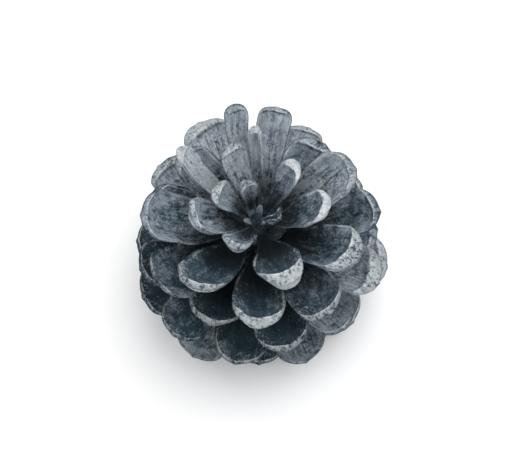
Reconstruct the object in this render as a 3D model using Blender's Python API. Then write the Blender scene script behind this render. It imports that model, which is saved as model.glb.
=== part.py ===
"""An open pine cone that stands on its base: a woody core and the scales that grow from it in a spiral.

Metres, +Z up. The cone's axis is the Z axis and the stalk scar under the core lies on Z = 0.
"""
import math
import random

import bmesh
import bpy
from mathutils import Matrix, Vector

MM = 0.001

# the spiral: scale 1 is the innermost one at the tip, the last one is the lowest
SCALE_COUNT = 59
DIVERGENCE = -137.58          # degrees from one scale to the next, clockwise seen from above
FIRST_AZIMUTH = 86.6          # degrees from +X to scale 1
SPREAD_ANGLE = 116.0          # degrees from the axis to the tip of the 50th scale
SPREAD_POWER = 0.57

# where the tips and the roots lie
EQUATOR_HEIGHT = 22.3 * MM
TIP_RADIUS = 30.6 * MM        # half the width of the open cone
TIP_RISE = 36.3 * MM          # half height of the round form that the tips follow
CROWN_DIP = 12.9 * MM         # how far the tip of the cone is sunk into its flat top
CROWN_DIP_COUNT = 7.4         # scales over which the sunken top fades out
ROOT_TOP = 13.5 * MM          # root heights, from the equator
ROOT_BOTTOM = -12.5 * MM
ROOT_POWER = 0.9

# one scale
SCALE_WIDTH = 13.2 * MM       # widest place of a grown scale
TIP_SCALE_WIDTH = 4.2 * MM    # the same on scale 1
WIDTH_GROWTH_COUNT = 6.0      # scales over which the width grows
END_LENGTH = 0.46             # length of the rounded end over the width
END_POWER = 2.4               # 2 is an ellipse, more is blunter
SWELL = 3.6 * MM              # thickness of a grown scale's swollen end
BLADE = 1.15 * MM             # thickness of its blade
CLAW_THICKNESS = 1.25 * MM
CLAW_WIDTH = 2.6 * MM
BEVEL_WIDTH = 2.0 * MM        # sloping outer face beyond the rim line
CUP = 0.13                    # depth of the hollow upper face over the width
SAG = 0.05                    # bend along the scale over its length
STATIONS = (0.0, 0.14, 0.34, 0.54, 0.72, 0.85, 0.94, 0.985)
TOP_PLACES = (-1.0, -0.55, 0.0, 0.55, 1.0)
UNDER_PLACES = (0.6, 0.0, -0.6)

# the core
CLEARANCE = 0.35 * MM         # between a scale's claw and the core
CORE_SIDES = 26
CORE_PROFILE = (              # height, radius
    (0.0, 3.6), (1.2, 4.0), (2.6, 6.0), (4.2, 6.6), (6.0, 5.4), (9.0, 4.8),
    (14.0, 4.6), (20.0, 4.2), (25.0, 3.5), (29.0, 2.6), (32.5, 1.7), (35.0, 1.0), (36.6, 0.5),
)
BRACT_HEIGHT = 3.6 * MM       # the ring of small basal bracts grown onto the core
BRACT_SPREAD = 1.8 * MM
BRACT_DEPTH = 0.9 * MM
RIB_DEPTH = 0.12 * MM         # spiral ribs between the claws

# scales that have warped out of the even spiral: turn in degrees, reach in mm, width factor
WARPED = {
    1: (30, 1.0, 1.0),
    2: (0, -1.5, 1.0),
    3: (-11, -1.3, 1.0),
    4: (6, 0.0, 0.9),
    5: (-16, -2.5, 0.8),
    6: (-9, -1.5, 0.7),
    7: (9, -2.3, 1.0),
    8: (-12, -4.4, 0.95),
    9: (23.5, -2.4, 0.4),
    10: (-4, -0.5, 1.0),
    11: (-9, -1.0, 0.52),
    12: (3, 0.0, 1.15),
    13: (-5, 0.0, 1.05),
    14: (0, 0.5, 0.5),
    15: (8, 0.0, 1.0),
    16: (0, -0.3, 1.1),
    17: (0, -5.0, 1.0),
    18: (0, 0.5, 1.0),
    19: (5, -5.0, 0.8),
    20: (8, -0.5, 1.0),
    21: (-4, -1.0, 1.1),
    22: (1, 0.0, 0.65),
    23: (5, -1.5, 1.0),
    24: (0, -4.0, 0.9),
    25: (0, -5.5, 0.9),
    26: (-5, -3.5, 1.0),
    27: (3, 1.4, 0.97),
    29: (0, -2.0, 1.0),
    30: (6, 0.0, 0.8),
    31: (3, -1.5, 1.0),
    32: (-3, 0.0, 1.0),
    33: (0, -2.5, 1.0),
    36: (0, -1.2, 1.0),
    37: (0, -1.4, 1.0),
    39: (0, -1.0, 1.0),
    41: (8, 1.0, 1.0),
    42: (-5, 0.0, 1.0),
    47: (-2, 0.5, 1.0),
    49: (0, -0.8, 1.0),
    52: (-2, -2.0, 0.95),
    57: (3, -2.0, 0.95),
}
TWISTED = {4: -18, 9: -42, 11: 22}   # degrees about their own length
TURN_WANDER = 1.5             # degrees, the small unevenness of every scale
TWIST_WANDER = 5.0
PITCH_WANDER = 1.5
SEED = 11


def ease(value):
    """Smooth step from 0 to 1."""
    value = min(max(value, 0.0), 1.0)
    return value * value * (3.0 - 2.0 * value)


def core_radius(height):
    """Radius of the core at a height in metres, straight between the profile's points."""
    level = height / MM
    for (low, low_radius), (high, high_radius) in zip(CORE_PROFILE, CORE_PROFILE[1:]):
        if level <= high:
            share = max(0.0, (level - low) / (high - low))
            return (low_radius + share * (high_radius - low_radius)) * MM
    return CORE_PROFILE[-1][1] * MM


def spiral_place(number):
    """Azimuth in radians, and tip radius, tip height and root height of one scale."""
    azimuth = math.radians(FIRST_AZIMUTH + DIVERGENCE * (number - 1))
    spread = math.radians(SPREAD_ANGLE) * ((number - 0.85) / 50.0) ** SPREAD_POWER
    dip = CROWN_DIP * math.exp(-((number - 1.3) / CROWN_DIP_COUNT) ** 2)
    tip_radius = TIP_RADIUS * math.sin(spread)
    tip_height = EQUATOR_HEIGHT + TIP_RISE * math.cos(spread) - dip
    share = ((number - 1) / (SCALE_COUNT - 1)) ** ROOT_POWER
    root_height = EQUATOR_HEIGHT + ROOT_TOP + share * (ROOT_BOTTOM - ROOT_TOP)
    return azimuth, tip_radius, tip_height, root_height


def scale_width(number):
    """Widest place of a scale: narrow at the tip of the cone, full size lower down."""
    growth = 1.0 - math.exp(-(number - 1) / WIDTH_GROWTH_COUNT)
    return TIP_SCALE_WIDTH + growth * (SCALE_WIDTH - TIP_SCALE_WIDTH)


def scale_mesh(name, length, width):
    """A spoon-shaped scale: root at the origin, tip along +X, hollow upper face towards +Z."""
    size = width / SCALE_WIDTH
    claw = 0.5 * CLAW_WIDTH * (0.45 + 0.55 * size)
    claw_thickness = CLAW_THICKNESS * (0.5 + 0.5 * size)
    blade = BLADE * (0.5 + 0.5 * size)
    swell = SWELL * (0.35 + 0.65 * size)
    bevel = BEVEL_WIDTH * (0.4 + 0.6 * size)
    arc = END_LENGTH * width
    shoulder = 1.0 - arc / length

    def half_width(share):
        if share > shoulder:
            past = (share - shoulder) / (1.0 - shoulder)
            return 0.5 * width * max(0.0, 1.0 - past ** END_POWER) ** (1.0 / END_POWER)
        return claw + (0.5 * width - claw) * ease(share / shoulder) ** 0.8

    def thickness(share):
        if share < 0.4:
            return claw_thickness + (blade - claw_thickness) * ease(share / 0.4)
        return blade + (swell - blade) * ease((share - 0.4) / 0.52)

    def upper(share, place):
        """Height of the upper face: bent along, hollow across, sloping down beyond the rim line."""
        bend = -4.0 * SAG * length * share * (1.0 - share)
        hollow = CUP * width * ease((share - 0.1) / 0.6) * (place * place - 0.35)
        slope = -0.4 * swell * ease(1.0 - (1.0 - share) * length / bevel) * (1.0 - 0.5 * place * place)
        return bend + hollow * (1.0 - 0.5 * ease((share - 0.8) / 0.2)) + slope

    mesh = bmesh.new()
    rings = []
    for share in STATIONS:
        half = half_width(share)
        thick = thickness(share)
        ring = [Vector((share * length, place * half, upper(share, place))) for place in TOP_PLACES]
        for point in (ring[0], ring[-1]):
            point.z -= 0.35 * thick
        for place in UNDER_PLACES:
            under = upper(share, place) - thick * (1.0 - 0.35 * place * place)
            ring.append(Vector((share * length, place * half, under)))
        rings.append([mesh.verts.new(point) for point in ring])
    umbo = mesh.verts.new((length, 0.0, upper(1.0, 0.0) - 0.08 * swell))
    for near, far in zip(rings, rings[1:]):
        for index in range(len(near)):
            after = (index + 1) % len(near)
            mesh.faces.new((near[index], near[after], far[after], far[index]))
    for index in range(len(rings[-1])):
        mesh.faces.new((rings[-1][index], rings[-1][(index + 1) % len(rings[-1])], umbo))
    mesh.faces.new(list(reversed(rings[0])))
    bmesh.ops.recalc_face_normals(mesh, faces=mesh.faces)
    bmesh.ops.triangulate(mesh, faces=mesh.faces)
    data = bpy.data.meshes.new(name)
    mesh.to_mesh(data)
    mesh.free()
    return data


def painted_wood(name, tint):
    """Dark slate paint with a pale frosting, on dry wood."""
    material = bpy.data.materials.new(name)
    material.use_nodes = True
    shader = material.node_tree.nodes["Principled BSDF"]
    shader.inputs["Base Color"].default_value = (0.13 * tint, 0.17 * tint, 0.20 * tint, 1.0)
    shader.inputs["Roughness"].default_value = 0.55
    shader.inputs["Metallic"].default_value = 0.0
    material.diffuse_color = (0.13 * tint, 0.17 * tint, 0.20 * tint, 1.0)
    return material


def add_object(name, data, tint):
    """Link a mesh into the scene as one named sub-part with its own material."""
    data.materials.append(painted_wood(name + "_paint", tint))
    part = bpy.data.objects.new(name, data)
    bpy.context.scene.collection.objects.link(part)
    return part


def make_core():
    """The woody axis: a turned spindle with spiral ribs and a ring of small basal bracts."""
    mesh = bmesh.new()
    rings = []
    for level, radius in CORE_PROFILE:
        height = level * MM
        ring = []
        for side in range(CORE_SIDES):
            angle = math.tau * side / CORE_SIDES
            bract = BRACT_DEPTH * math.exp(-((height - BRACT_HEIGHT) / BRACT_SPREAD) ** 2)
            rib = -RIB_DEPTH * (1.0 + math.cos(8.0 * angle + 900.0 * height)) if level > 8.0 else 0.0
            reach = radius * MM + bract * math.cos(0.5 * CORE_SIDES * angle) * ease(level) + rib
            ring.append(mesh.verts.new((reach * math.cos(angle), reach * math.sin(angle), height)))
        rings.append(ring)
    for low, high in zip(rings, rings[1:]):
        for side in range(CORE_SIDES):
            after = (side + 1) % CORE_SIDES
            mesh.faces.new((low[side], low[after], high[after], high[side]))
    mesh.faces.new(list(reversed(rings[0])))
    mesh.faces.new(rings[-1])
    bmesh.ops.triangulate(mesh, faces=mesh.faces)
    data = bpy.data.meshes.new("core")
    mesh.to_mesh(data)
    mesh.free()
    return add_object("core", data, 0.8)


def make_scale(number, wander):
    """One scale, laid from its root beside the core to its tip on the spiral."""
    azimuth, tip_radius, tip_height, root_height = spiral_place(number)
    turn, reach, width_factor = WARPED.get(number, (0.0, 0.0, 1.0))
    azimuth += math.radians(turn + wander.uniform(-TURN_WANDER, TURN_WANDER))
    twist = math.radians(TWISTED.get(number, 0.0) + wander.uniform(-TWIST_WANDER, TWIST_WANDER))
    pitch = math.radians(wander.uniform(-PITCH_WANDER, PITCH_WANDER))
    width = scale_width(number) * width_factor

    tip = Vector((tip_radius + reach * MM, 0.0, tip_height))
    rise = math.atan2(tip.z - root_height, tip.x - core_radius(root_height))
    claw_room = CLAW_THICKNESS * abs(math.sin(rise)) + CLEARANCE
    root = Vector((core_radius(root_height) + claw_room, 0.0, root_height))
    along = tip - root
    length = along.length
    rise = math.atan2(along.z, along.x)

    data = scale_mesh("scale_%02d" % number, length, width)
    place = (
        Matrix.Rotation(azimuth, 4, "Z")
        @ Matrix.Translation(root)
        @ Matrix.Rotation(-rise - pitch, 4, "Y")
        @ Matrix.Rotation(twist, 4, "X")
    )
    data.transform(place)
    for vertex in data.vertices:
        vertex.co.z = max(vertex.co.z, 0.0)   # worn flat where the cone stands
    return add_object("scale_%02d" % number, data, wander.uniform(0.85, 1.2))


def main():
    for old in list(bpy.data.objects):
        bpy.data.objects.remove(old, do_unlink=True)
    make_core()
    wander = random.Random(SEED)
    for number in range(1, SCALE_COUNT + 1):
        make_scale(number, wander)


main()
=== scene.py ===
import math
import random

import bpy
from mathutils import Matrix, Vector


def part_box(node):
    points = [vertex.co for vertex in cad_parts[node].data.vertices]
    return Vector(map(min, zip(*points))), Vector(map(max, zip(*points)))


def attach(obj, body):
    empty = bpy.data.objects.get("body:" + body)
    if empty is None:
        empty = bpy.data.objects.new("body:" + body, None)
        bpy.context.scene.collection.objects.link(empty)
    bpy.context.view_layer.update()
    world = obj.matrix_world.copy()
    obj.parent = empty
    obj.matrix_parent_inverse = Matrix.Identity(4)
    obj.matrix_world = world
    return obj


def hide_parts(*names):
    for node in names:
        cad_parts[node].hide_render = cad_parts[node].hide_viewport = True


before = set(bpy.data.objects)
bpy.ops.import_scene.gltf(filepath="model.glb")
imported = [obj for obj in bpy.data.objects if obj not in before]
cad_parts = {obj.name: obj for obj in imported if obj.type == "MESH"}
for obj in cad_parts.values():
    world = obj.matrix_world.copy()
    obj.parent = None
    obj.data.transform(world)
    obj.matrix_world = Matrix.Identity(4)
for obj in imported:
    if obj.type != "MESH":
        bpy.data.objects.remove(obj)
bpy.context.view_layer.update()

mm = 0.001
seamGap = 0.002 * mm           # points closer than this become one
print("frame loaded:", len(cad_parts), "nodes")


class Field:  # a number or vector that varies over a surface, so that a shape or a paint is a formula
    def __init__(self, tree, socket):
        self.tree = tree
        self.socket = socket

    def calc(self, operation, *others):
        node = self.tree.nodes.new("ShaderNodeMath")
        node.operation = operation
        for place, value in enumerate((self,) + others):
            feed(self.tree, node.inputs[place], value)
        return Field(self.tree, node.outputs[0])

    def __add__(self, other):
        return self.calc("ADD", other)

    def __radd__(self, other):
        return self.calc("ADD", other)

    def __sub__(self, other):
        return self.calc("SUBTRACT", other)

    def __rsub__(self, other):
        return (self * -1.0).calc("ADD", other)

    def __mul__(self, other):
        return self.calc("MULTIPLY", other)

    def __rmul__(self, other):
        return self.calc("MULTIPLY", other)

    def __truediv__(self, other):
        return self.calc("DIVIDE", other)

    def __pow__(self, other):
        return self.calc("POWER", other)

    def ease(self, low, high):  # 0 below low, 1 above high, smooth between
        node = self.tree.nodes.new("ShaderNodeMapRange")
        node.interpolation_type = "SMOOTHSTEP"
        feed(self.tree, node.inputs["Value"], self)
        feed(self.tree, node.inputs["From Min"], low)
        feed(self.tree, node.inputs["From Max"], high)
        return Field(self.tree, node.outputs["Result"])

    def hump(self, width):  # 1 where the field is 0, fading out over the width on both sides
        return ((self / width) ** 2.0 * -1.0).calc("EXPONENT")


def feed(tree, socket, value):
    if isinstance(value, Field):
        tree.links.new(value.socket, socket)
    else:
        socket.default_value = value


def pick(chooser, whenZero, whenOne):  # blend of two fields
    return whenZero + (whenOne - whenZero) * chooser


def joinVector(tree, x, y, z):
    node = tree.nodes.new("ShaderNodeCombineXYZ")
    for socket, value in zip(node.inputs, (x, y, z)):
        feed(tree, socket, value)
    return Field(tree, node.outputs[0])


def splitVector(tree, vector):
    node = tree.nodes.new("ShaderNodeSeparateXYZ")
    feed(tree, node.inputs[0], vector)
    return [Field(tree, output) for output in node.outputs]


def positionFields(tree):
    node = tree.nodes.new("GeometryNodeInputPosition")
    return splitVector(tree, Field(tree, node.outputs[0]))


def noiseField(tree, where, scale, detail=2.0, seed=0.0):  # about -1 to 1
    node = tree.nodes.new("ShaderNodeTexNoise")
    node.noise_dimensions = "4D"
    feed(tree, node.inputs["Vector"], where)
    feed(tree, node.inputs["W"], seed)
    node.inputs["Scale"].default_value = scale
    node.inputs["Detail"].default_value = detail
    return (Field(tree, node.outputs[0]) - 0.5) * 3.2


def startTree(name, inputs):
    tree = bpy.data.node_groups.new(name, "GeometryNodeTree")
    tree.interface.new_socket("Geometry", in_out="OUTPUT", socket_type="NodeSocketGeometry")
    kinds = {float: "NodeSocketFloat", int: "NodeSocketInt", tuple: "NodeSocketVector"}
    for label, start in inputs.items():
        socket = tree.interface.new_socket(label, in_out="INPUT", socket_type=kinds[type(start)])
        socket.default_value = start
    entry = tree.nodes.new("NodeGroupInput")
    return tree, {label: Field(tree, entry.outputs[label]) for label in inputs}


def storeField(tree, geometry, name, value, kind="FLOAT"):
    node = tree.nodes.new("GeometryNodeStoreNamedAttribute")
    node.data_type = kind
    node.inputs["Name"].default_value = name
    tree.links.new(geometry, node.inputs["Geometry"])
    feed(tree, node.inputs["Value"], value)
    return node.outputs["Geometry"]


def setPosition(tree, geometry, position):
    node = tree.nodes.new("GeometryNodeSetPosition")
    tree.links.new(geometry, node.inputs["Geometry"])
    feed(tree, node.inputs["Position"], position)
    return node.outputs["Geometry"]


def startGrid(tree, columns, rows):  # a flat grid and its two coordinates, both from -1 to 1
    grid = tree.nodes.new("GeometryNodeMeshGrid")
    for label, value in (("Size X", 2.0), ("Size Y", 2.0), ("Vertices X", columns), ("Vertices Y", rows)):
        grid.inputs[label].default_value = value
    return (grid.outputs["Mesh"], *positionFields(tree)[:2])


def startBall(tree, segments, rings):  # a ball of radius 1 and its three coordinates
    ball = tree.nodes.new("GeometryNodeMeshUVSphere")
    for label, value in (("Segments", segments), ("Rings", rings), ("Radius", 1.0)):
        ball.inputs[label].default_value = value
    return (ball.outputs["Mesh"], *positionFields(tree))


def orderField(tree):  # 0 for the first copy, 1 for the next
    node = tree.nodes.new("GeometryNodeInputIndex")
    return Field(tree, node.outputs[0])


def standCopies(tree, geometry, count, place, turn):
    points = tree.nodes.new("GeometryNodePoints")
    feed(tree, points.inputs["Count"], count)
    feed(tree, points.inputs["Position"], place)
    stand = tree.nodes.new("GeometryNodeInstanceOnPoints")
    tree.links.new(points.outputs[0], stand.inputs["Points"])
    tree.links.new(geometry, stand.inputs["Instance"])
    feed(tree, stand.inputs["Rotation"], turn)
    realise = tree.nodes.new("GeometryNodeRealizeInstances")
    tree.links.new(stand.outputs[0], realise.inputs["Geometry"])
    return realise.outputs["Geometry"]


def endTree(tree, geometry, material):  # close seams, shade smooth, realise, give the finish
    merge = tree.nodes.new("GeometryNodeMergeByDistance")
    merge.inputs["Distance"].default_value = seamGap
    smooth = tree.nodes.new("GeometryNodeSetShadeSmooth")
    realise = tree.nodes.new("GeometryNodeRealizeInstances")
    finish = tree.nodes.new("GeometryNodeSetMaterial")
    finish.inputs["Material"].default_value = material
    leave = tree.nodes.new("NodeGroupOutput")
    tree.links.new(geometry, merge.inputs["Geometry"])
    tree.links.new(merge.outputs["Geometry"], smooth.inputs["Geometry"])
    tree.links.new(smooth.outputs["Geometry"], realise.inputs["Geometry"])
    tree.links.new(realise.outputs["Geometry"], finish.inputs["Geometry"])
    tree.links.new(finish.outputs["Geometry"], leave.inputs["Geometry"])


def growPiece(name, tree, values):  # evaluates a tree once with its own values and keeps the plain mesh
    piece = bpy.data.objects.new(name, bpy.data.meshes.new(name + "Seed"))
    bpy.context.scene.collection.objects.link(piece)
    modifier = piece.modifiers.new("shape", "NODES")
    modifier.node_group = tree
    for item in tree.interface.items_tree:
        if item.item_type == "SOCKET" and item.in_out == "INPUT" and item.name in values:
            modifier[item.identifier] = values[item.name]
    depsgraph = bpy.context.evaluated_depsgraph_get()
    mesh = bpy.data.meshes.new_from_object(piece.evaluated_get(depsgraph))
    piece.modifiers.clear()
    seedMesh = piece.data
    piece.data = mesh
    mesh.name = name
    bpy.data.meshes.remove(seedMesh)
    return piece


def shaderTree(name):
    material = bpy.data.materials.new(name)
    material.use_nodes = True
    return material, material.node_tree, material.node_tree.nodes["Principled BSDF"]


def attributeField(tree, name, output="Fac"):
    node = tree.nodes.new("ShaderNodeAttribute")
    node.attribute_name = name
    return Field(tree, node.outputs[output])


def stretched(tree, vector, factors):
    node = tree.nodes.new("ShaderNodeVectorMath")
    node.operation = "MULTIPLY"
    feed(tree, node.inputs[0], vector)
    node.inputs[1].default_value = factors
    return Field(tree, node.outputs[0])


def mixColours(tree, share, first, second):
    node = tree.nodes.new("ShaderNodeMix")
    node.data_type = "RGBA"
    feed(tree, node.inputs["Factor"], share)
    for socket, colour in ((node.inputs[6], first), (node.inputs[7], second)):  # its two colour sockets
        if isinstance(colour, Field):
            feed(tree, socket, colour)
        else:
            socket.default_value = (*colour, 1.0)
    return Field(tree, node.outputs[2])


def shaderNoise(tree, where, scale, detail=3.0, roughness=0.55):
    node = tree.nodes.new("ShaderNodeTexNoise")
    feed(tree, node.inputs["Vector"], where)
    node.inputs["Scale"].default_value = scale
    node.inputs["Detail"].default_value = detail
    node.inputs["Roughness"].default_value = roughness
    return Field(tree, node.outputs[0])


def shaderDots(tree, where, scale, size):  # 1 on small round dots, size as a part of their spacing
    node = tree.nodes.new("ShaderNodeTexVoronoi")
    feed(tree, node.inputs["Vector"], where)
    node.inputs["Scale"].default_value = scale
    distance = Field(tree, node.outputs["Distance"])
    return distance.ease(size, size * 0.5)


def addBump(tree, shader, height, distance, strength):
    bump = tree.nodes.new("ShaderNodeBump")
    bump.inputs["Strength"].default_value = strength
    bump.inputs["Distance"].default_value = distance
    feed(tree, bump.inputs["Height"], height)
    tree.links.new(bump.outputs["Normal"], shader.inputs["Normal"])


paintLook = {
    "deep": (0.009, 0.021, 0.029),      # slate paint where it lies thick in the hollows, also used for painted shade towards the roots
    "slate": (0.046, 0.084, 0.108),     # the same where it is brushed thin
    "film": (0.262, 0.312, 0.375),      # the pale film brushed over it
    "silver": (0.465, 0.515, 0.54),     # the film on the outer faces
    "bright": (0.74, 0.78, 0.82),       # the film on rims and specks
    "pitAndShade": (0.006, 0.008, 0.010),       # pits that the film missed, and painted shade in the depths towards the roots
    "roughness": 0.55,
    "specular": 0.15,
    "relief": 0.34 * mm,                # height of the brush marks and pits
    "reliefStrength": 0.9,
    "streakScale": 1.4,                 # marks along a scale, for each mm
    "arcScale": 1.2,                    # marks that follow its rim
    "fineScale": 2.3,
    "blotchScale": 0.22,
    "dabScale": 0.62,
    "pitScale": 1.6,
}


def makeScalePaint():
    look = paintLook
    material, tree, shader = shaderTree("frostedSlatePaint")
    grain = attributeField(tree, "grain", "Vector")        # across, along, own offset, all in mm
    rimGrain = attributeField(tree, "rimGrain", "Vector")  # along the outline, inwards, own offset, in mm
    rim = attributeField(tree, "rim")                      # 0 at the outline, 1 where the hollow begins
    edge = attributeField(tree, "edge")                    # mm from the outline
    tip = attributeField(tree, "tip")                      # 1 at the swollen end
    share = attributeField(tree, "share")                  # 0 at the root, 1 at the tip
    filmAndLight = attributeField(tree, "filmAndLight")                  # how much film this scale has, which also carries its painted light and shade
    silver = attributeField(tree, "silver")                # how bright its outer face is
    upper = attributeField(tree, "upper")                  # 1 on the hollow face, 0 underneath

    streaks = shaderNoise(tree, stretched(tree, grain, (1.0, 0.16, 1.0)), look["streakScale"], 4.0, 0.65)
    arcs = shaderNoise(tree, stretched(tree, rimGrain, (0.22, 1.0, 1.0)), look["arcScale"], 4.0, 0.65)
    fine = shaderNoise(tree, stretched(tree, grain, (1.0, 0.6, 1.0)), look["fineScale"], 5.0, 0.78)
    blotch = shaderNoise(tree, grain, look["blotchScale"], 3.0)
    dabs = shaderNoise(tree, grain, look["dabScale"], 5.0, 0.66)
    pits = shaderNoise(tree, stretched(tree, grain, (1.0, 1.4, 1.0)), look["pitScale"], 4.0, 0.68)
    brushed = pick(share.ease(0.35, 0.75), streaks, arcs * 0.6 + streaks * 0.4)
    wander = (dabs - 0.5) * 1.7 + (fine - 0.5) * 1.5

    thin = (brushed * 0.4 + blotch * 0.3 + fine * 0.35 + share * 0.16).ease(0.44, 0.80)
    colour = mixColours(tree, thin, look["deep"], look["slate"])

    # a dry brush leaves the film on what stands out, most towards the end
    towardsRim = edge.ease(4.5, 0.5) * share.ease(0.35, 0.7)
    # each scale's film amount also paints light: more on lit scales, less on shaded ones
    wash = filmAndLight * 0.66 + share.ease(0.2, 1.0) * 0.12 + towardsRim * 0.22
    wash = wash + (brushed - 0.5) * 1.2 + wander * 0.55
    wash = (wash + (blotch - 0.5) * 0.9 + (dabs - 0.5) * 0.5).ease(0.20, 0.96)
    colour = mixColours(tree, wash * 0.9, colour, look["film"])
    sweep = (streaks * 0.5 + dabs * 0.3 + fine * 0.35 + filmAndLight * 0.09).ease(0.60, 0.76) * filmAndLight.ease(0.35, 1.1)
    dust = (fine * 0.75 + dabs * 0.25).ease(0.52, 0.60) * edge.ease(3.4, 0.9) * share.ease(0.4, 0.7)
    dust = dust * (0.95 - filmAndLight * 0.4)
    colour = mixColours(tree, sweep.calc("MAXIMUM", dust) * 0.9, colour, look["silver"])
    # pale flecks of film, which also serve as painted highlights glinting on the bumps
    flecksAndGlints = (fine * 0.65 + arcs * 0.35 + filmAndLight * 0.05).ease(0.575, 0.65) * (0.15 + filmAndLight * 0.6)
    flecksAndGlints = flecksAndGlints + (dust - 0.62).calc("MAXIMUM", 0.0) * 1.8 * (arcs * 0.5 + fine * 0.5).ease(0.50, 0.56)
    colour = mixColours(tree, flecksAndGlints.calc("MINIMUM", 1.0), colour, look["bright"])
    cracks = (streaks * 0.55 + fine * 0.45).ease(0.43, 0.35) * (0.35 + filmAndLight * 0.1)
    colour = mixColours(tree, cracks.calc("MINIMUM", 0.85), colour, look["deep"])

    # the outer face below the rim is silvery with dark pits
    outer = (rim + wander * 0.30).ease(1.12, 0.84) * tip
    missed = pits + (fine - 0.5) * 0.5 + (dabs - 0.5) * 0.55 - (rim - 0.8).hump(0.35) * 0.03
    missed = missed.ease(0.44, 0.38) * silver.ease(1.35, 0.55)
    patchy = (silver * 1.25 + wander * 0.8 - 0.1).ease(0.05, 1.0)
    coat = outer * patchy * (1.0 - missed * 0.9)
    colour = mixColours(tree, outer * missed * (silver * 0.7 + 0.2), colour, look["pitAndShade"])
    colour = mixColours(tree, coat * (0.78 + fine * 0.32), colour, look["silver"])
    white = coat * silver.ease(0.62, 1.15) * (dabs * 0.7 + fine * 0.4 + silver * 0.03).ease(0.53, 0.66)
    colour = mixColours(tree, white, colour, look["bright"])

    # a broken bright line on the rim, and a fainter one on the sharp edge of the flanks
    broken = (arcs * 0.5 + fine * 0.5).ease(0.42, 0.53)
    line = ((rim - 1.08) * 2.2).hump(0.40) * tip * (silver * 0.4 + 1.1) * dabs.ease(0.36, 0.50)
    line = (line + (edge - 0.42).hump(0.16) * 0.75 * (1.0 - outer) * blotch.ease(0.42, 0.60)) * broken
    colour = mixColours(tree, line.calc("MINIMUM", 1.0), colour, look["bright"])
    groove = ((rim - 1.42) * 2.2).hump(0.38) * tip * upper * (0.35 + (1.0 - broken) * 0.5)
    dull = (0.9 - silver).calc("MAXIMUM", 0.0)
    groove = groove + (edge - 0.3).hump(0.22) * tip * dull * (1.0 - broken * 0.7)
    colour = mixColours(tree, groove.calc("MINIMUM", 1.0) * 0.85, colour, look["deep"])

    # a dark edge, pale specks in the hollow, dark chips in the film, and painted shade towards the root
    outline = edge.ease(0.34, 0.02) * share.ease(0.2, 0.6) * (1.0 - silver * 0.9).calc("MAXIMUM", 0.1)
    colour = mixColours(tree, outline * (0.55 + arcs * 0.6), colour, look["deep"])

    specks = shaderDots(tree, grain, 0.6, 0.11) + shaderDots(tree, grain, 1.0, 0.14) * 0.8
    specks = specks.calc("MINIMUM", 1.0) * upper * dabs.ease(0.40, 0.56)
    colour = mixColours(tree, specks * 0.75, colour, look["bright"])
    chips = shaderDots(tree, grain, 0.75, 0.17) * wash
    colour = mixColours(tree, chips * 0.8, colour, look["deep"])
    # painted shade towards the root, deep between the scales, first in the deep colour and then in the pit
    # colour
    colour = mixColours(tree, share.ease(0.70, 0.08) * 0.85, colour, look["deep"])
    shade = (share + filmAndLight * 0.35).ease(0.85, 0.30) * edge.ease(0.0, 0.8)
    colour = mixColours(tree, shade * 0.9, colour, look["pitAndShade"])
    feed(tree, shader.inputs["Base Color"], colour)
    feed(tree, shader.inputs["Roughness"], coat * -0.12 + (look["roughness"] - 0.04) + fine * 0.14)
    shader.inputs["Specular IOR Level"].default_value = look["specular"]
    relief = brushed * 0.8 + fine * 0.9 + dabs * 0.6 - outer * missed * 0.7 + specks * 0.35 + line * 0.3
    relief = relief - cracks * 0.6 + dust * 0.3 + flecksAndGlints * 0.3 - groove * 0.4
    addBump(tree, shader, relief, look["relief"], look["reliefStrength"])
    return material


woodLook = {
    "grainScale": 1.6,                  # marks for each mm, drawn out along the core
    "blotchScale": 0.35,
    "fineScale": 3.0,
    "film": 0.8,                        # how much of the film it takes
    "relief": 0.25 * mm,
    "reliefStrength": 0.7,
}


def makeCorePaint():
    material, tree, shader = shaderTree("coreWood")
    place = tree.nodes.new("ShaderNodeTexCoord")
    where = Field(tree, place.outputs["Object"])
    inMm = stretched(tree, where, (1000.0, 1000.0, 1000.0))
    drawnOut = stretched(tree, where, (1000.0, 1000.0, 250.0))
    grain = shaderNoise(tree, drawnOut, woodLook["grainScale"], 4.0, 0.65)
    blotch = shaderNoise(tree, inMm, woodLook["blotchScale"])
    fine = shaderNoise(tree, inMm, woodLook["fineScale"], 3.0, 0.7)
    dry = (grain * 0.7 + blotch * 0.5).ease(0.4, 0.8)
    colour = mixColours(tree, dry, paintLook["pitAndShade"], paintLook["slate"])
    brushed = attributeField(tree, "brushed")
    wash = (fine * 0.5 + grain * 0.5 + brushed * 0.5).ease(0.55, 0.95)
    colour = mixColours(tree, wash * woodLook["film"], colour, paintLook["film"])
    feed(tree, shader.inputs["Base Color"], colour)
    feed(tree, shader.inputs["Roughness"], fine * 0.2 + 0.65)
    addBump(tree, shader, grain + fine * 0.4, woodLook["relief"], woodLook["reliefStrength"])
    return material


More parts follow.
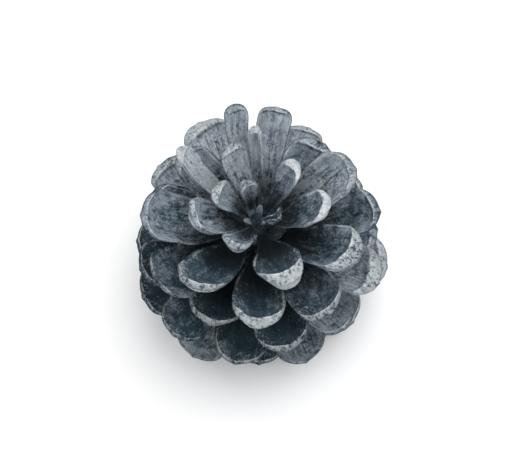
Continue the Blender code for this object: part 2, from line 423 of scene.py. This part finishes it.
scaleShape = {
    "aroundCount": 129,        # points along the outline, root to tip to root
    "acrossCount": 45,         # points from the upper midline over the edge to the under midline
    "arcPart": 0.46,           # part of the outline that is the rounded end
    "endLength": 0.46,         # rounded end over the width
    "endPower": 0.833,
    "midlineReach": 0.45,      # how far the midline runs into the rounded end
    "edgeCrowding": 1.25,      # above 1 the points crowd towards the edge
    "swell": 3.6 * mm,         # thickness at the swollen end of a wide scale
    "blade": 1.15 * mm,        # thickness of its middle
    "clawWidth": 2.6 * mm,     # width at the root
    "bevel": 2.4 * mm,         # from the outline in to the rim of the hollow
    "faceDepth": 0.7,          # how much of the bevel and drop a scale has that isn't in scaleLooks
    "drop": 1.5 * mm,          # how far the outer face falls from the rim of the hollow
    "sag": 0.05,               # how far its middle sags, as a part of its length
    "floorLayer": 1.2 * mm,    # what stands lower than this is worn towards the floor
    "curl": 0.2,               # greatest twist of the blade to either side
    "skew": 0.45,              # greatest lopsidedness to either side
    "cup": (0.17, 0.25),       # depth of the hollow over the width
    "tasteSeed": 5,
    "placeTolerance": 4.0 * mm,  # a scale whose middle is further from its CAD node's is named
}


def makeScaleTree(material):
    shape = scaleShape
    tree, given = startTree("coneScale", {
        "Length": 22.0 * mm, "Width": spiral["wideScale"], "Swell": shape["swell"], "Blade": shape["blade"],
        "Claw Width": shape["clawWidth"], "Claw Thickness": spiral["clawThickness"],
        "Bevel": shape["bevel"], "Drop": shape["drop"], "Cup": shape["cup"][0], "Sag": shape["sag"],
        "Curl": 0.0, "Skew": 0.0, "FilmAndLight": 0.5, "Silver": 0.5, "Seed": 0.0, "Root": (0.0, 0.0, 0.0),
        "Turn": (0.0, 0.0, 0.0), "Azimuth": (0.0, 0.0, 0.0), "Floor Layer": shape["floorLayer"],
    })
    length, width, seed = given["Length"], given["Width"], given["Seed"]
    size = width / spiral["wideScale"]
    geometry, around, over = startGrid(tree, shape["aroundCount"], shape["acrossCount"])
    upper = over.calc("LESS_THAN", 0.0001)
    side = around.calc("SIGN")
    reach = 1.0 - over.calc("ABSOLUTE") ** shape["edgeCrowding"]     # 0 on the midline, 1 on the outline
    fromTip = around.calc("ABSOLUTE")                                # 0 at the tip, 1 at the root

    # the outline: a rounded end and two flanks that narrow to the claw
    arc = width * shape["endLength"]
    straight = length - arc
    angle = (fromTip / shape["arcPart"]).calc("MINIMUM", 1.0) * (0.5 * math.pi)
    facing = angle.calc("COSINE").calc("MAXIMUM", 0.0)
    flank = ((1.0 - fromTip) / (1.0 - shape["arcPart"])).calc("MINIMUM", 1.0)
    opened = ((flank * (0.5 * math.pi)).calc("SINE") + flank.ease(0.0, 1.0)) * 0.5
    half = given["Claw Width"] * 0.5 + (width * 0.5 - given["Claw Width"] * 0.5) * opened
    forward = facing ** shape["endPower"]
    sideways = angle.calc("SINE").calc("MAXIMUM", 0.0) ** shape["endPower"]
    alongRim = around * (width * 1.5 / mm)
    alongOutline = joinVector(tree, alongRim, seed * 3.0, 0.0)
    ragged = noiseField(tree, alongOutline, 0.16, 1.0, seed) * 0.028
    ragged = ragged + noiseField(tree, alongOutline, 0.5, 2.0, seed) * 0.008
    outX = flank * straight + arc * forward
    outY = half * sideways * side
    midX = flank * straight + arc * forward * shape["midlineReach"]
    x = midX + (outX - midX) * reach
    y = outY * reach
    share = x / length
    place = (y / half).calc("ABSOLUTE").calc("MINIMUM", 1.0)         # 0 on the midline, 1 on the flank
    ahead = (x - straight) / arc
    power = 1.0 / shape["endPower"] * 2.0
    level = (ahead.calc("MAXIMUM", 0.0) ** power + place ** power) ** (1.0 / power)
    edge = (1.0 - level).calc("MAXIMUM", 0.0) * half
    worn = reach * ragged * flank.ease(0.2, 0.8)
    x = x + (outX - midX) * worn
    y = y + outY * worn
    tip = fromTip.ease(shape["arcPart"] * 1.25, shape["arcPart"] * 0.45)

    # the outer face: a sloping crescent between the outline and the rim of the hollow
    uneven = 1.0 + noiseField(tree, alongOutline, 0.25, 2.0, seed + 5.0) * 0.16
    bulge = (1.0 - place ** power).calc("MAXIMUM", 0.0) ** (1.0 / power)
    across = y / half
    bevel = (given["Bevel"] * bulge * uneven * (1.0 + across * given["Skew"])).calc("MAXIMUM", 0.35 * mm)
    drop = given["Drop"] * bulge ** 1.5 * tip
    rim = ((bulge - ahead) * arc).calc("MAXIMUM", 0.0) / bevel
    rim = rim.calc("MAXIMUM", edge / (2.6 * mm))

    # the upper face: bent along, hollow across, with the rim raised round the end
    bend = share * (1.0 - share) * length * given["Sag"] * -4.0
    spoon = given["Cup"] * width * share.ease(0.02, 0.6) * (1.0 - across * given["Skew"] * 0.6)
    raisedEnd = (share - 0.74).calc("MAXIMUM", 0.0) ** 1.5 * 2.2
    dish = place ** 2.0 * (1.0 - share.ease(0.8, 1.0) * 0.3) + raisedEnd - 0.4
    thick = pick(share.ease(0.0, 0.4), given["Claw Thickness"], given["Blade"])
    thick = thick + (given["Swell"] - given["Blade"]) * share.ease(0.45, 0.92)
    thick = thick * (1.0 - place ** 2.0 * 0.45) * share.ease(0.0, 0.04)
    lip = thick * 0.30
    slope = rim.ease(1.08, 0.0) * 0.45 + (1.0 - rim).calc("MAXIMUM", 0.0) * 0.55
    ridge = ((rim - 1.12) * 2.2).hump(0.5) * tip * bulge * (0.22 * mm)
    imprint = edge.ease(bevel + 0.5 * mm, bevel + 1.3 * mm) * share.ease(0.3, 0.5) * (-0.12 * mm)
    keel = y.hump(0.6 * mm) * share.ease(0.05, 0.15) * share.ease(0.6, 0.35) * (0.22 * mm)
    crown = bend + spoon * dish
    upperZ = crown + ridge + imprint + keel - (lip + drop) * slope

    # the under face: a blunt keel at the outline, deep below the swollen end, thin towards the claw
    belly = edge.ease(-0.3 * mm, pick(tip, 1.1 * mm, 2.4 * mm))
    underZ = crown - (lip + drop) - (thick - lip - drop * 0.7).calc("MAXIMUM", 0.15 * mm) * belly
    z = pick(upper, underZ, upperZ)

    # the small knob in the middle of the outer face
    knob = (y ** 2.0 + (edge - 0.3 * mm) ** 2.0).calc("SQRT").hump(size * 0.75 * mm) * tip * size
    x = x + knob * (0.40 * mm)

    # uneven growth, drying and wear
    here = joinVector(tree, x / mm, y / mm, z / mm)
    swing = noiseField(tree, here, 0.10, 1.0, seed) * share * 1.1 * mm
    lift = noiseField(tree, here, 0.15, 1.0, seed + 7.3) * share * 1.1 * mm
    lumps = noiseField(tree, here, 0.5, 2.0, seed + 3.1) * (0.11 * mm + rim.ease(1.4, 0.4) * tip * 0.10 * mm)
    rough = noiseField(tree, here, 1.5, 2.0, seed + 4.4) * (0.035 * mm + rim.ease(1.4, 0.4) * tip * 0.05 * mm)
    lengthwise = joinVector(tree, y / mm, x / mm * 0.2, 0.0)
    wrinkle = noiseField(tree, lengthwise, 0.8, 3.0, seed + 1.7) * 0.13 * mm
    rimwise = joinVector(tree, alongRim * 0.2, edge / mm, 0.0)
    ripples = noiseField(tree, rimwise, 0.8, 3.0, seed + 2.7) * 0.12 * mm
    curl = given["Curl"] * (share - 0.3).calc("MAXIMUM", 0.0) * y
    ground = share.ease(0.02, 0.1)
    calm = 0.3 + edge.ease(0.0, 1.6 * mm) * 0.7
    relief = lumps + rough + (wrinkle + ripples) * ground
    shaped = joinVector(tree, x, y + swing, z + curl + lift + relief * calm)

    own = seed * 13.0 + upper * 40.0
    geometry = storeField(tree, geometry, "grain", joinVector(tree, y / mm, x / mm, own), "FLOAT_VECTOR")
    rimGrain = joinVector(tree, alongRim, edge / mm, own)
    geometry = storeField(tree, geometry, "rimGrain", rimGrain, "FLOAT_VECTOR")
    for label, value in (
        ("rim", rim.calc("MINIMUM", 3.0)), ("edge", edge / mm), ("tip", tip), ("share", share),
        ("upper", upper), ("filmAndLight", given["FilmAndLight"]), ("silver", given["Silver"]),
    ):
        geometry = storeField(tree, geometry, label, value)
    geometry = setPosition(tree, geometry, shaped)

    # laid from its root beside the core to its place on the spiral
    for turn, move in ((given["Turn"], given["Root"]), (given["Azimuth"], None)):
        lay = tree.nodes.new("GeometryNodeTransform")
        tree.links.new(geometry, lay.inputs["Geometry"])
        feed(tree, lay.inputs["Rotation"], turn)
        if move is not None:
            feed(tree, lay.inputs["Translation"], move)
        geometry = lay.outputs["Geometry"]

    # worn down where the cone stands, thinner the deeper it would reach
    px, py, pz = positionFields(tree)
    layer = given["Floor Layer"]
    pressed = ((pz - layer) / layer).calc("MINIMUM", 0.0).calc("EXPONENT") * layer
    pressed = pressed + (pz - layer).calc("MAXIMUM", 0.0)
    geometry = setPosition(tree, geometry, joinVector(tree, px, py, pressed))
    flip = tree.nodes.new("GeometryNodeFlipFaces")
    tree.links.new(geometry, flip.inputs["Mesh"])
    endTree(tree, flip.outputs["Mesh"], material)
    return tree


spiral = {                     # the same as in the CAD model, with angles in degrees
    "count": 59,
    "divergence": -137.58,     # turn from one scale to the next
    "firstAzimuth": 86.6,
    "spreadAngle": 116.0,      # from the top of the cone round to the tip of scale 51
    "spreadPower": 0.57,
    "spreadStart": 0.85,
    "spreadCount": 50.0,
    "equatorHeight": 22.3 * mm,
    "tipRadius": 30.6 * mm,
    "tipRise": 36.3 * mm,      # from the equator up to the tip of an upright scale
    "crownDip": 12.9 * mm,     # how far the first tips lie lower than that
    "crownDipStart": 1.3,
    "crownDipCount": 7.4,
    "rootTop": 13.5 * mm,      # roots, from the equator
    "rootBottom": -12.5 * mm,
    "rootPower": 0.9,
    "wideScale": 13.2 * mm,
    "narrowScale": 4.2 * mm,
    "growthCount": 6.0,        # scales it takes to get nearly two thirds of the way to the full width
    "clawThickness": 1.25 * mm,
    "clearance": 0.35 * mm,    # between a root and the core
    "turnWander": 1.5,
    "twistWander": 5.0,
    "pitchWander": 1.5,
    "seed": 11,
}
coreProfile = (                # height and radius in mm
    (0.0, 3.6), (1.2, 4.0), (2.6, 6.0), (4.2, 6.6), (6.0, 5.4), (9.0, 4.8),
    (14.0, 4.6), (20.0, 4.2), (25.0, 3.5), (29.0, 2.6), (32.5, 1.7), (35.0, 1.0), (36.6, 0.5),
)
warped = {                     # turn in degrees, reach in mm, width factor
    1: (30, 1.0, 1.0), 2: (0, -1.5, 1.0), 3: (-11, -1.3, 1.0), 4: (6, 0.0, 0.9), 5: (-16, -2.5, 0.8),
    6: (-9, -1.5, 0.7), 7: (9, -2.3, 1.0), 8: (-12, -4.4, 0.95), 9: (23.5, -2.4, 0.4), 10: (-4, -0.5, 1.0),
    11: (-9, -1.0, 0.52), 12: (3, 0.0, 1.15), 13: (-5, 0.0, 1.05), 14: (0, 0.5, 0.5), 15: (8, 0.0, 1.0),
    16: (0, -0.3, 1.1), 17: (0, -5.0, 1.0), 18: (0, 0.5, 1.0), 19: (5, -5.0, 0.8), 20: (8, -0.5, 1.0),
    21: (-4, -1.0, 1.1), 22: (1, 0.0, 0.65), 23: (5, -1.5, 1.0), 24: (0, -4.0, 0.9), 25: (0, -5.5, 0.9),
    26: (-5, -3.5, 1.0), 27: (3, 1.4, 0.97), 29: (0, -2.0, 1.0), 30: (6, 0.0, 0.8),
    31: (3, -1.5, 1.0), 32: (-3, 0.0, 1.0), 33: (0, -2.5, 1.0), 36: (0, -1.2, 1.0), 37: (0, -1.4, 1.0),
    39: (0, -1.0, 1.0), 41: (8, 1.0, 1.0), 42: (-5, 0.0, 1.0), 47: (-2, 0.5, 1.0), 49: (0, -0.8, 1.0),
    52: (-2, -2.0, 0.95), 57: (3, -2.0, 0.95),
}
twisted = {4: -18, 9: -42, 11: 22}   # degrees about their own length


def coreRadius(height):
    level = height / mm
    for (low, lowRadius), (high, highRadius) in zip(coreProfile, coreProfile[1:]):
        if level <= high:
            return (lowRadius + max(0.0, (level - low) / (high - low)) * (highRadius - lowRadius)) * mm
    return coreProfile[-1][1] * mm


def scalePlace(number, wander):  # the same draws in the same order as the CAD model's
    s = spiral
    turn, reach, widthFactor = warped.get(number, (0.0, 0.0, 1.0))
    heading = s["firstAzimuth"] + s["divergence"] * (number - 1) + turn
    azimuth = math.radians(heading + wander.uniform(-s["turnWander"], s["turnWander"]))
    twist = math.radians(twisted.get(number, 0.0) + wander.uniform(-s["twistWander"], s["twistWander"]))
    pitch = math.radians(wander.uniform(-s["pitchWander"], s["pitchWander"]))
    wander.random()            # the CAD model draws a shade here
    spread = math.radians(s["spreadAngle"])
    spread = spread * ((number - s["spreadStart"]) / s["spreadCount"]) ** s["spreadPower"]
    dip = s["crownDip"] * math.exp(-((number - s["crownDipStart"]) / s["crownDipCount"]) ** 2)
    tipRadius = s["tipRadius"] * math.sin(spread) + reach * mm
    tipHeight = s["equatorHeight"] + s["tipRise"] * math.cos(spread) - dip
    share = ((number - 1) / (s["count"] - 1)) ** s["rootPower"]
    rootHeight = s["equatorHeight"] + s["rootTop"] + share * (s["rootBottom"] - s["rootTop"])
    rise = math.atan2(tipHeight - rootHeight, tipRadius - coreRadius(rootHeight))
    rootRadius = coreRadius(rootHeight) + s["clawThickness"] * abs(math.sin(rise)) + s["clearance"]
    along = Vector((tipRadius - rootRadius, 0.0, tipHeight - rootHeight))
    growth = 1.0 - math.exp(-(number - 1) / s["growthCount"])
    width = (s["narrowScale"] + growth * (s["wideScale"] - s["narrowScale"])) * widthFactor
    tilt = Matrix.Rotation(-math.atan2(along.z, along.x) - pitch, 3, "Y") @ Matrix.Rotation(twist, 3, "X")
    return {
        "length": along.length, "width": width, "azimuth": azimuth,
        "root": (rootRadius, 0.0, rootHeight), "tilt": tuple(tilt.to_euler("XYZ")),
    }


# where they differ from the rule: depth and silver of the outer face, film on the hollow one; the film also
# paints light and shade, low on scales that lie in shadow, high on lit ones
scaleLooks = {
    1: (0.8, 0.55, 0.8), 2: (0.5, 0.15, -0.3), 3: (0.9, 0.85, 0.85), 4: (0.8, 1.05, 0.7),
    5: (0.9, 0.6, 0.5), 6: (0.7, 0.6, 1.05), 7: (0.7, 1.05, 0.5), 8: (0.55, 0.6, 0.85),
    9: (1.0, 1.3, 1.1), 10: (1.0, 0.72, 0.2), 11: (0.8, 0.9, 1.4), 12: (0.5, 0.35, 0.85),
    13: (0.45, 0.55, 0.22), 14: (0.7, 0.25, 0.95), 15: (1.0, 0.65, 0.4), 16: (0.4, 0.2, 0.65),
    17: (0.6, 0.25, 0.75), 18: (0.75, 0.75, 0.08), 20: (0.5, 0.2, 0.5), 21: (0.15, 0.4, 0.35),
    22: (0.5, 0.35, 0.9), 23: (0.4, 0.5, 0.3), 24: (0.6, 0.15, 0.3), 26: (0.4, 0.6, -0.4),
    27: (0.9, 0.72, 1.0), 28: (1.0, 0.6, 0.85), 29: (0.3, 0.2, -0.6), 30: (0.5, 0.35, 0.95),
    31: (0.4, 0.5, -0.25), 32: (0.7, 0.35, 0.9), 34: (0.25, 0.3, 0.18), 36: (0.25, 0.2, 0.85),
    37: (0.3, 0.1, -0.4), 39: (0.25, 0.4, -0.1), 41: (0.7, 0.55, 0.95), 42: (0.3, 0.2, -0.3),
    44: (0.15, 0.15, 0.75), 45: (0.3, 0.2, -0.4), 47: (0.1, 0.2, 0.85), 49: (0.25, 0.2, 0.8),
    50: (0.3, 0.2, 0.5), 52: (0.3, 0.4, 0.0), 57: (0.3, 0.2, 0.4), 58: (0.3, 0.2, -0.4),
}


brushingAndLight = {                   # the rule for the film and the silver, where the film also paints light
    "filmAndLightSide": 105.0,         # the film was brushed on from behind, a little from the left, and more of it there is painted light from that side
    "leastFilm": 0.05,
    "sideFilmAndLight": 0.5,
    "highFilmAndLight": 0.2,
    "leastSilver": 0.2,
    "frontSilver": 0.4,
    "filmWander": 0.06,
    "silverWander": 0.08,
}


def filmAndLightAmount(number, azimuth):
    # painted light: more film on scales towards the lit side and towards the top
    towardsBrushAndLight = 0.5 + 0.5 * math.cos(azimuth - math.radians(brushingAndLight["filmAndLightSide"]))
    high = 1.0 - number / spiral["count"]
    return brushingAndLight["leastFilm"] + brushingAndLight["sideFilmAndLight"] * towardsBrushAndLight + brushingAndLight["highFilmAndLight"] * high


def silverAmount(azimuth):
    towardsFront = 0.5 - 0.5 * math.sin(azimuth)
    return brushingAndLight["leastSilver"] + brushingAndLight["frontSilver"] * towardsFront


def makeScales(material):
    shape = scaleShape
    tree = makeScaleTree(material)
    wander = random.Random(spiral["seed"])
    taste = random.Random(shape["tasteSeed"])
    for number in range(1, spiral["count"] + 1):
        spot = scalePlace(number, wander)
        size = spot["width"] / spiral["wideScale"]
        usual = (shape["faceDepth"], silverAmount(spot["azimuth"]), filmAndLightAmount(number, spot["azimuth"]))
        faceDepth, silver, filmAndLight = scaleLooks.get(number, usual)
        slimmer = 0.5 + 0.5 * size                       # a narrow scale is thinner too
        swollen = 0.40 + 0.60 * min(faceDepth, 1.0)      # and so is one with a shallow outer face
        node = "scale_%02d" % number
        piece = growPiece("coneScale%02d" % number, tree, {
            "Length": spot["length"], "Width": spot["width"],
            "Swell": shape["swell"] * (0.35 + 0.65 * size) * swollen, "Blade": shape["blade"] * slimmer,
            "Claw Width": shape["clawWidth"] * (0.45 + 0.55 * size),
            "Claw Thickness": spiral["clawThickness"] * slimmer,
            "Bevel": shape["bevel"] * faceDepth * slimmer, "Drop": shape["drop"] * size * faceDepth,
            "Curl": taste.uniform(-shape["curl"], shape["curl"]),
            "Skew": taste.uniform(-shape["skew"], shape["skew"]),
            "Cup": taste.uniform(*shape["cup"]),
            "FilmAndLight": filmAndLight + taste.uniform(-brushingAndLight["filmWander"], brushingAndLight["filmWander"]),
            "Silver": silver + taste.uniform(-brushingAndLight["silverWander"], brushingAndLight["silverWander"]),
            "Seed": taste.uniform(0.0, 50.0),
            "Root": spot["root"], "Turn": spot["tilt"], "Azimuth": (0.0, 0.0, spot["azimuth"]),
        })
        low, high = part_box(node)
        points = [vertex.co for vertex in piece.data.vertices]
        middle = Vector([sum(p[axis] for p in points) / len(points) for axis in range(3)])
        apart = (middle - (low + high) / 2).length
        if apart > shape["placeTolerance"]:
            print("off its CAD place:", node, round(apart / mm, 1), "mm")
        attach(piece, "root")
        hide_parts(node)
    print("scales grown:", spiral["count"], "each", len(piece.data.polygons), "faces")


coreShape = {
    "aroundCount": 161,
    "alongCount": 221,
    "height": 36.6 * mm,
    "radius": 5.0 * mm,
    "underside": 0.08,         # part of the rows that lie on the underside
    "bractCount": 13,          # knobs round the foot
    "bractDepth": 0.9 * mm,
    "bractHeight": 3.9 * mm,   # above the floor
    "brushed": 0.12,           # how much of the film the core, its buds and its stubs took
    "budBrushed": 0.65,
    "stubBrushed": 0.2,
    "budCount": 6,
    "budLength": 5.6 * mm,
    "budWidth": 2.5 * mm,
    "budHeight": 30.5 * mm,    # where the first one stands
    "budDivergence": 137.5,    # degrees from one to the next
    "stubCount": 46,
    "stubLength": 7.0 * mm,
    "stubWidth": 5.0 * mm,
    "stubTop": 29.0 * mm,      # where the first one stands
    "stubRange": 21.0,         # and how far down they go, in mm
}


def makeBuds(tree, given):  # small unopened scales crowded round the tip of the core
    ball, px, py, pz = startBall(tree, 32, 24)
    up = (pz + 1.0) * 0.5
    broad = (up * 0.75 + 0.25) * given["Bud Width"] * 0.5
    bent = up ** 2.0 * given["Bud Length"] * 0.22 + (py ** 2.0) * -0.3 * mm
    thick = px * (up * 0.5 + 0.55) * 0.55 * mm
    bud = setPosition(tree, ball, joinVector(tree, thick + bent, py * broad, up * given["Bud Length"]))
    order = orderField(tree)
    heading = order * math.radians(coreShape["budDivergence"]) + 1.1
    away = 0.5 * mm + order * 0.22 * mm
    height = given["Bud Height"] - order * 0.75 * mm
    place = joinVector(tree, heading.calc("COSINE") * away, heading.calc("SINE") * away, height)
    turn = joinVector(tree, 0.0, order * 0.10 + 0.12, heading)
    buds = standCopies(tree, bud, given["Bud Count"], place, turn)
    return storeField(tree, buds, "brushed", coreShape["budBrushed"])


def makeStubs(tree, given):  # torn bracts and seed husks that fill the depth between the scales
    ball, px, py, pz = startBall(tree, 24, 16)
    up = (pz + 1.0) * 0.5
    broad = (up * 0.6 + 0.4) * given["Stub Width"] * 0.5
    thick = px * 0.45 * mm + (py * up) ** 2.0 * 0.7 * mm
    stub = setPosition(tree, ball, joinVector(tree, thick, py * broad, up * given["Stub Length"]))
    order = orderField(tree)
    down = order / given["Stub Count"]
    heading = order * math.radians(spiral["divergence"]) + 0.4
    away = given["Radius"] * 0.75 * (1.0 - (1.0 - down) ** 3.0 * 0.55)
    height = coreShape["stubTop"] - down * coreShape["stubRange"] * mm
    place = joinVector(tree, heading.calc("COSINE") * away, heading.calc("SINE") * away, height)
    turn = joinVector(tree, 0.0, down * 1.0 + 0.75, heading)
    stubs = standCopies(tree, stub, given["Stub Count"], place, turn)
    return storeField(tree, stubs, "brushed", coreShape["stubBrushed"])


def makeCoreTree(material):
    shape = coreShape
    tree, given = startTree("coneCore", {
        "Height": shape["height"], "Radius": shape["radius"],
        "Bract Count": float(shape["bractCount"]), "Bract Depth": shape["bractDepth"],
        "Bud Count": shape["budCount"], "Bud Length": shape["budLength"], "Bud Width": shape["budWidth"],
        "Bud Height": shape["budHeight"], "Stub Count": shape["stubCount"],
        "Stub Length": shape["stubLength"], "Stub Width": shape["stubWidth"], "Seed": 3.0,
    })
    grid, around, along = startGrid(tree, shape["aroundCount"], shape["alongCount"])
    angle = around * math.pi
    rise = (along + 1.0) * 0.5
    bottom = (rise / shape["underside"]).calc("MINIMUM", 1.0)
    level = ((rise - shape["underside"]) / (1.0 - shape["underside"])).calc("MAXIMUM", 0.0)
    height = level * given["Height"]
    body = given["Radius"] * (1.0 - level ** 3.0) + 0.15 * mm * level.ease(1.0, 0.95)
    foot = (height - shape["bractHeight"]).hump(1.7 * mm)
    bracts = foot * ((angle * given["Bract Count"]).calc("COSINE") * given["Bract Depth"] + 1.5 * mm)
    narrow = height.ease(2.6 * mm, 0.0) * 1.1 * mm
    surface = joinVector(tree, angle.calc("COSINE") * 3.0, angle.calc("SINE") * 3.0, height / mm * 0.35)
    bark = noiseField(tree, surface, 0.9, 3.0, given["Seed"]) * 0.16 * mm * level.ease(1.0, 0.9)
    radius = (body + bracts - narrow + bark) * bottom
    rings = (bottom * 22.0).calc("COSINE") * 0.12 * mm + 0.14 * mm   # rings of the broken stalk
    dent = rings * bottom.ease(1.0, 0.92)
    shaped = joinVector(tree, angle.calc("COSINE") * radius, angle.calc("SINE") * radius, height + dent)
    body = setPosition(tree, grid, shaped)
    body = storeField(tree, body, "brushed", shape["brushed"])
    join = tree.nodes.new("GeometryNodeJoinGeometry")
    tree.links.new(body, join.inputs[0])
    tree.links.new(makeBuds(tree, given), join.inputs[0])
    tree.links.new(makeStubs(tree, given), join.inputs[0])
    endTree(tree, join.outputs[0], material)
    return tree


def makeCore(material):
    core = growPiece("coneCore", makeCoreTree(material), {})
    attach(core, "root")
    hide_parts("core")
    print("core grown:", len(core.data.polygons), "faces")


studio = {
    "floorSize": 6.0,
    "floorColour": (0.955, 0.955, 0.96),
    "floorRoughness": 0.9,
    "worldStrength": 1.02,
    "keySize": 1.6,
    "keyPlace": (0.5, 0.45, 1.2),
    "keyAim": (0.0, 0.0, 0.02),
    "keyPower": 12.0,
}


def makeFloor():
    mesh = bpy.data.meshes.new("floor")
    half = studio["floorSize"] / 2
    corners = [(-half, -half, 0), (half, -half, 0), (half, half, 0), (-half, half, 0)]
    mesh.from_pydata(corners, [], [(0, 1, 2, 3)])
    material, tree, shader = shaderTree("floorPaper")
    shader.inputs["Base Color"].default_value = (*studio["floorColour"], 1.0)
    shader.inputs["Roughness"].default_value = studio["floorRoughness"]
    mesh.materials.append(material)
    floor = bpy.data.objects.new("floor", mesh)
    bpy.context.scene.collection.objects.link(floor)
    print("floor laid:", studio["floorSize"], "m wide")


def makeLight():
    world = bpy.data.worlds.new("studioWorld")
    world.use_nodes = True
    background = world.node_tree.nodes["Background"]
    background.inputs["Color"].default_value = (1.0, 1.0, 1.0, 1.0)
    background.inputs["Strength"].default_value = studio["worldStrength"]
    bpy.context.scene.world = world
    data = bpy.data.lights.new("keyLight", "AREA")
    data.size = studio["keySize"]
    data.energy = studio["keyPower"]
    lamp = bpy.data.objects.new("keyLight", data)
    lamp.location = studio["keyPlace"]
    aim = Vector(studio["keyPlace"]) - Vector(studio["keyAim"])
    lamp.rotation_euler = aim.to_track_quat("Z", "Y").to_euler()
    bpy.context.scene.collection.objects.link(lamp)
    bpy.context.scene.view_settings.view_transform = "Standard"
    print("light set: white surroundings and a key light of", studio["keyPower"], "W")


lens = {
    "elevation": 65.8,         # degrees above the floor
    "lean": 3.3,               # degrees of roll, so that the cone's axis leans to the left
    "distance": 600 * mm,
    "focal": 175.9,
    "aside": 0.73 * mm,
    "nearest": 0.01,           # nothing closer than this shows, in metres
}


def makeCamera():
    elevation, lean = math.radians(lens["elevation"]), math.radians(lens["lean"])
    up = Vector((0.0, math.sin(elevation), math.cos(elevation)))
    right = Vector((1.0, 0.0, 0.0))
    rolledRight = right * math.cos(lean) - up * math.sin(lean)
    rolledUp = up * math.cos(lean) + right * math.sin(lean)
    back = rolledRight.cross(rolledUp)
    target = Vector((0.0, 0.0, spiral["equatorHeight"])) + rolledRight * lens["aside"]
    data = bpy.data.cameras.new("camera")
    data.lens = lens["focal"]
    data.clip_start = lens["nearest"]
    camera = bpy.data.objects.new("camera", data)
    place = Matrix((rolledRight, rolledUp, back)).transposed().to_4x4()
    camera.matrix_world = Matrix.Translation(target + back * lens["distance"]) @ place
    bpy.context.scene.collection.objects.link(camera)
    bpy.context.scene.camera = camera
    print("camera set:", lens["elevation"], "degrees above the floor")


makeScales(makeScalePaint())
makeCore(makeCorePaint())
makeFloor()
makeLight()
makeCamera()
